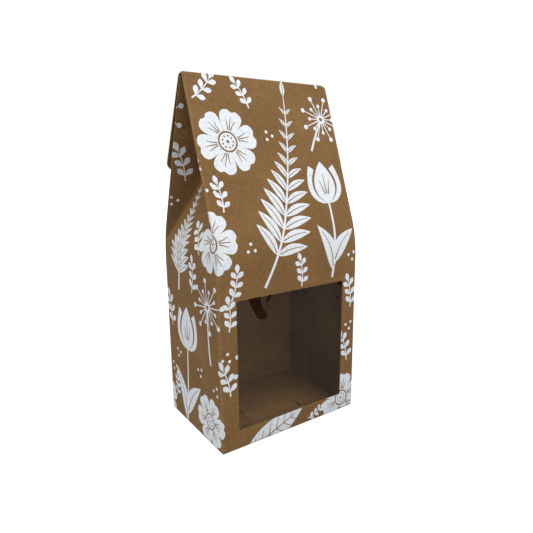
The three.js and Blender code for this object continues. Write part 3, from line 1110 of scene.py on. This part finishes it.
outsideKraft = makeKraft("kraft_outside", (1, 1, 1, 1), True)
# The inside of the board is the same kraft, tinted lighter as painted light for the box's interior
insideKraft = makeKraft("kraft_inside", kraft["insideLightTint"], False)
boardMaterials = [outsideKraft, makeInk(), insideKraft, makeMottled("cut_edge", cutEdge)]
print("board materials made")


# Each point's direction outwards, and how far the point behind it is drawn out to keep the thickness
def vertexNormals(points, triangles):
    corners = points[triangles]
    normals = np.cross(corners[:, 1] - corners[:, 0], corners[:, 2] - corners[:, 0])
    lengths = np.linalg.norm(normals, axis=1)
    unit = normals / np.maximum(lengths, 1e-12)[:, None]
    total = np.zeros_like(points)
    for i in range(3):
        a = corners[:, (i + 1) % 3] - corners[:, i]
        b = corners[:, (i + 2) % 3] - corners[:, i]
        sizes = np.linalg.norm(a, axis=1) * np.linalg.norm(b, axis=1)
        cosine = np.sum(a * b, axis=1) / np.maximum(sizes, 1e-12)
        np.add.at(total, triangles[:, i], unit * np.arccos(np.clip(cosine, -1, 1))[:, None])
    total /= np.maximum(np.linalg.norm(total, axis=1), 1e-12)[:, None]
    spread = np.ones(len(points))
    for i in range(3):
        facing = np.sum(total[triangles[:, i]] * unit, axis=1)
        np.minimum.at(spread, triangles[:, i], facing)
    return total, 1 / np.clip(spread, board["creaseLimit"], 1)


# A thin sheet from its outer side: the same triangles again behind it, and its cut edges. Slots are those of
# the outer triangles, then the inner side's and the edges'. Edges for which openEdge is true stay open.
def makeSheet(name, points, triangles, flat, thick, materials, slots, openEdge):
    points = np.array(points)
    triangles = np.array(triangles)
    normals, factor = vertexNormals(points, triangles)
    behind = points - normals * (thick * factor)[:, None]
    behind[:, 2] = np.maximum(behind[:, 2], 0)
    count = len(points)
    faces = [tuple(t) for t in triangles] + [(c + count, b + count, a + count) for a, b, c in triangles]
    faceSlots = list(slots["outer"]) + [slots["inner"]] * len(triangles)
    edges = {edge for a, b, c in triangles for edge in ((a, b), (b, c), (c, a))}
    for a, b in sorted(edges):
        if (b, a) in edges or openEdge(flat[a], flat[b]):
            continue
        faces.append((b, a, a + count, b + count))
        faceSlots.append(slots["edge"])
    mesh = bpy.data.meshes.new(name)
    mesh.from_pydata([tuple(p * mm) for p in np.concatenate((points, behind))], [], faces)
    for material in materials:
        mesh.materials.append(material)
    mesh.polygons.foreach_set("material_index", faceSlots)
    worn = [wearAt(u, v) for u, v in flat] + [0.0] * count
    mesh.attributes.new("worn", "FLOAT", "POINT").data.foreach_set("value", worn)
    layer = mesh.uv_layers.new(name="UVMap")
    index = np.empty(len(mesh.loops), dtype=np.int32)
    mesh.loops.foreach_get("vertex_index", index)
    places = np.concatenate((flat, flat))[index] * mm
    layer.data.foreach_set("uv", places.astype(np.float32).ravel())
    mesh.shade_smooth()
    mesh.set_sharp_from_angle(angle=sharpFold)
    mesh.update()
    obj = bpy.data.objects.new(name, mesh)
    bpy.context.collection.objects.link(obj)
    print(name, "made:", len(faces), "faces")
    return obj


def makeBoardPiece(name, part, openEdge):
    chosen = [(kind, corners) for where, kind, corners in sheetTriangles if where == part]
    used = sorted({i for _, corners in chosen for i in corners})
    renumber = {old: new for new, old in enumerate(used)}
    flat = flatPoints[used]
    points = [foldSheet(u, v) for u, v in flat]
    triangles = [[renumber[i] for i in corners] for _, corners in chosen]
    slots = {"outer": [1 if kind == "ink" else 0 for kind, _ in chosen], "inner": 2, "edge": 3}
    return makeSheet(name, points, triangles, flat, board["thick"], boardMaterials, slots, openEdge)


# The crease between the carton and its flap stays open in both pieces
def onSeam(a, b, near=1e-3):
    return all(abs(v - frontRim) < near and abs(u) <= broadHalf + near for u, v in (a, b))


carton = makeBoardPiece("carton_board", "carton", onSeam)
flap = makeBoardPiece("flap_board", "flap", onSeam)

# Window film: clear, with slow ripples behind the opening, and dark red-brown patches near its top corners
# that are painted shade, the colour of the unlit inside seen through the film
film = {
    "thick": 0.2,
    "step": 3.0,
    "settle": 12.0,  # the ripples fade in over this way from the opening's edge
    "ripple": 0.15,
    "rippleBase": 1.9,
    "waves": [(1.0, 0.11, 0.045, 0.0), (0.6, -0.05, 0.13, 1.3), (0.4, 0.21, 0.0, 2.2)],
    "mottle": (45.0,),
    "tones": [(0.35, (0.09, 0.09, 0.088, 1)), (0.65, (0.16, 0.16, 0.155, 1))],
    "roughness": 0.1,
    "ior": 1.48,
    "alpha": 0.06,
    # painted shade: outlines of the dark patches, put where the unlit inside shows through the film
    "shadeMarks": [
        [(-31.3, 90.5), (-29.7, 84.7), (-27.3, 80.4), (-25.3, 76.8), (-22.5, 74.7), (-19.7, 74.6),
         (-17.9, 76.0), (-19.0, 78.3), (-20.8, 80.7), (-22.3, 84.2), (-22.8, 90.5)],
        [(-17.9, 90.5), (-18.5, 86.4), (-18.9, 83.9), (-17.5, 84.3), (-15.7, 87.0), (-15.9, 90.5)],
        [(34.8, 90.5), (34.9, 87.2), (36.6, 85.7), (38.9, 86.2), (39.4, 90.5)],
        [(34.2, 78.8), (34.6, 77.4), (36.0, 76.9), (37.0, 77.6), (36.2, 79.0)],
    ],
}


def ripple(x, z):
    half = halfWidth - window["side"]
    tall = window["tall"] / 2
    inside = min(half - abs(x), tall - abs(z - window["sill"] - tall)) / film["settle"]
    wave = sum(size * math.sin(x * byX + z * byZ + start) for size, byX, byZ, start in film["waves"])
    return film["ripple"] * (film["rippleBase"] + wave) * min(1.0, max(0.0, inside))


def makeFilm(materials):
    low, high = (np.array(corner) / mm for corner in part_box("window_film"))
    points = [(low[0], low[2]), (high[0], low[2]), (high[0], high[2]), (low[0], high[2])]
    edges = [(0, 1), (1, 2), (2, 3), (3, 0)]
    for axis, other in ((0, 2), (2, 0)):
        for spot in np.arange(low[axis] + film["step"], high[axis] - 1, film["step"]):
            edges.append((len(points), len(points) + 1))
            ends = [(spot, low[other]), (spot, high[other])]
            points += ends if axis == 0 else [end[::-1] for end in ends]
    shadeMarks = []
    for outline in film["shadeMarks"]:
        shadeMarks.append(list(range(len(points), len(points) + len(outline))))
        points += outline
    result = delaunay_2d_cdt([Vector(p) for p in points], edges, shadeMarks, 0, weldWithin, True)
    flat = np.array([tuple(v) for v in result[0]])
    slots = {"outer": [1 if inside else 0 for inside in result[5]], "inner": 0, "edge": 0}
    placed = [(x, low[1] + ripple(x, z), z) for x, z in flat]
    return makeSheet("window_film_clear", placed, result[2], flat, film["thick"], materials, slots,
                     lambda a, b: False)


# Painted shade: the patches' dark red-brown is the colour of the box's unlit inside
shadeMark = {
    "mottle": (320.0, 3.0, 0.6, (1.0, 1.0, 0.3)),
    "tones": [(0.35, linear(26, 8, 3)), (0.65, linear(46, 19, 8))],
    "roughness": 0.8,
    "specular": 0.05,
    "alpha": 0.92,
}

filmPiece = makeFilm([makeMottled("clear_film", film), makeMottled("painted_shade_marks", shadeMark)])
print("film made")

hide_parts("carton")
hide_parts("closing_flap")
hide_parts("window_film")
for piece in (carton, filmPiece):
    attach(piece, "box")

# The ends of the ridge's crown along the front line; the flap's placing is baked into its mesh
crownStart = onLine(frontLine, frontRim)
crownEnd = onLine(frontLine, flapEnd - board["flapLength"])
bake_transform(flap)

# Floor, backdrop and lights: a softbox high in front and a weak low one, broad suns for the sides
studio = {
    "floorSize": 40.0,
    "floorDrop": 0.00003,
    "floor": {"roughness": 0.8, "specular": 0.0},
    "floorColour": linear(190, 190, 190),
    "floorGlow": {"near": 0.66, "far": 1.0, "from": 0.09, "to": 0.32},
    "boxes": {
        "high": {"place": (0.12, -0.42, 0.75), "size": 0.5, "power": 3.4},
        "low": {"place": (-0.10, -0.50, 0.32), "size": 0.4, "power": 0.68},
    },
    "aim": (0.0, 0.0, 0.12),
    "suns": {
        "left": {"from": (-1.00, 0.12, 1.10), "angle": 36.0, "strength": 1.52},
        "right": {"from": (1.00, 0.80, 0.70), "angle": 50.0, "strength": 0.8},
    },
    "world": 0.225,
}


# The camera sees a floor that whitens away from the box and keeps its shadow, with none of the glow under the
# box; other rays see plain grey
def floorGlow(tree):
    place = tree.nodes.new("ShaderNodeTexCoord").outputs["Object"]
    distance = tree.nodes.new("ShaderNodeVectorMath")
    distance.operation = "LENGTH"
    tree.links.new(place, distance.inputs[0])
    spans = [studio["floorGlow"][key] for key in ("from", "to", "near", "far")]
    spread = mapRange(tree, distance.outputs["Value"], spans, "SMOOTHSTEP")
    shares = tree.nodes.new("ShaderNodeVectorMath")
    shares.operation = "DIVIDE"
    shares.inputs[1].default_value = (halfWidth * mm, halfDepth * mm, 1)
    tree.links.new(place, shares.inputs[0])
    apart = tree.nodes.new("ShaderNodeSeparateXYZ")
    tree.links.new(shares.outputs["Vector"], apart.inputs["Vector"])
    sizes = [mathNode(tree, "ABSOLUTE", apart.outputs[axis]) for axis in "XY"]
    beyond = [mathNode(tree, "GREATER_THAN", size, 1.0) for size in sizes]
    clear = mathNode(tree, "MAXIMUM", *beyond)
    seen = mathNode(tree, "MULTIPLY", tree.nodes.new("ShaderNodeLightPath").outputs["Is Camera Ray"], clear)
    return mathNode(tree, "MULTIPLY", seen, spread)


def makeFloor():
    half = studio["floorSize"] / 2
    mesh = bpy.data.meshes.new("floor")
    corners = [(-half, -half, 0), (half, -half, 0), (half, half, 0), (-half, half, 0)]
    mesh.from_pydata(corners, [], [(0, 1, 2, 3)])
    floor = bpy.data.objects.new("floor", mesh)
    bpy.context.collection.objects.link(floor)
    floor.location.z = -studio["floorDrop"]
    material, tree, shader = nodeMaterial("pale_floor", studio["floor"])
    shader.inputs["Base Color"].default_value = studio["floorColour"]
    shader.inputs["Emission Color"].default_value = (1, 1, 1, 1)
    tree.links.new(floorGlow(tree), shader.inputs["Emission Strength"])
    mesh.materials.append(material)


def addLamp(name, kind, power):
    data = bpy.data.lights.new(name, kind)
    data.energy = power
    obj = bpy.data.objects.new(name, data)
    bpy.context.collection.objects.link(obj)
    return obj


def addSoftbox(name, settings):
    lamp = addLamp(name, "AREA", settings["power"])
    lamp.data.size = settings["size"]
    lamp.location = settings["place"]
    towards = Vector(settings["place"]) - Vector(studio["aim"])
    lamp.rotation_euler = towards.to_track_quat("Z", "Y").to_euler()


def addSun(name, settings):
    lamp = addLamp(name, "SUN", settings["strength"])
    lamp.data.angle = math.radians(settings["angle"])
    lamp.rotation_euler = Vector(settings["from"]).to_track_quat("Z", "Y").to_euler()


def makeWorld():
    world = bpy.data.worlds.new("studio")
    bpy.context.scene.world = world
    world.use_nodes = True
    tree = world.node_tree
    shown = tree.nodes.new("ShaderNodeBackground")
    shown.inputs["Strength"].default_value = 1.0
    shown.inputs["Color"].default_value = (1, 1, 1, 1)
    background = tree.nodes["Background"]
    background.inputs["Color"].default_value = (1, 1, 1, 1)
    background.inputs["Strength"].default_value = studio["world"]
    path = tree.nodes.new("ShaderNodeLightPath").outputs
    glossy = mathNode(tree, "MAXIMUM", path["Is Glossy Ray"], path["Is Transmission Ray"])
    mix = tree.nodes.new("ShaderNodeMixShader")
    tree.links.new(mathNode(tree, "MAXIMUM", path["Is Camera Ray"], glossy), mix.inputs["Fac"])
    tree.links.new(background.outputs["Background"], mix.inputs[1])
    tree.links.new(shown.outputs["Background"], mix.inputs[2])
    tree.links.new(mix.outputs["Shader"], tree.nodes["World Output"].inputs["Surface"])


makeFloor()
for boxName, boxSettings in studio["boxes"].items():
    addSoftbox(boxName + "_softbox", boxSettings)
for sunName, sunSettings in studio["suns"].items():
    addSun(sunName + "_light", sunSettings)
makeWorld()
bpy.context.scene.view_settings.view_transform = "Standard"
print("studio made")
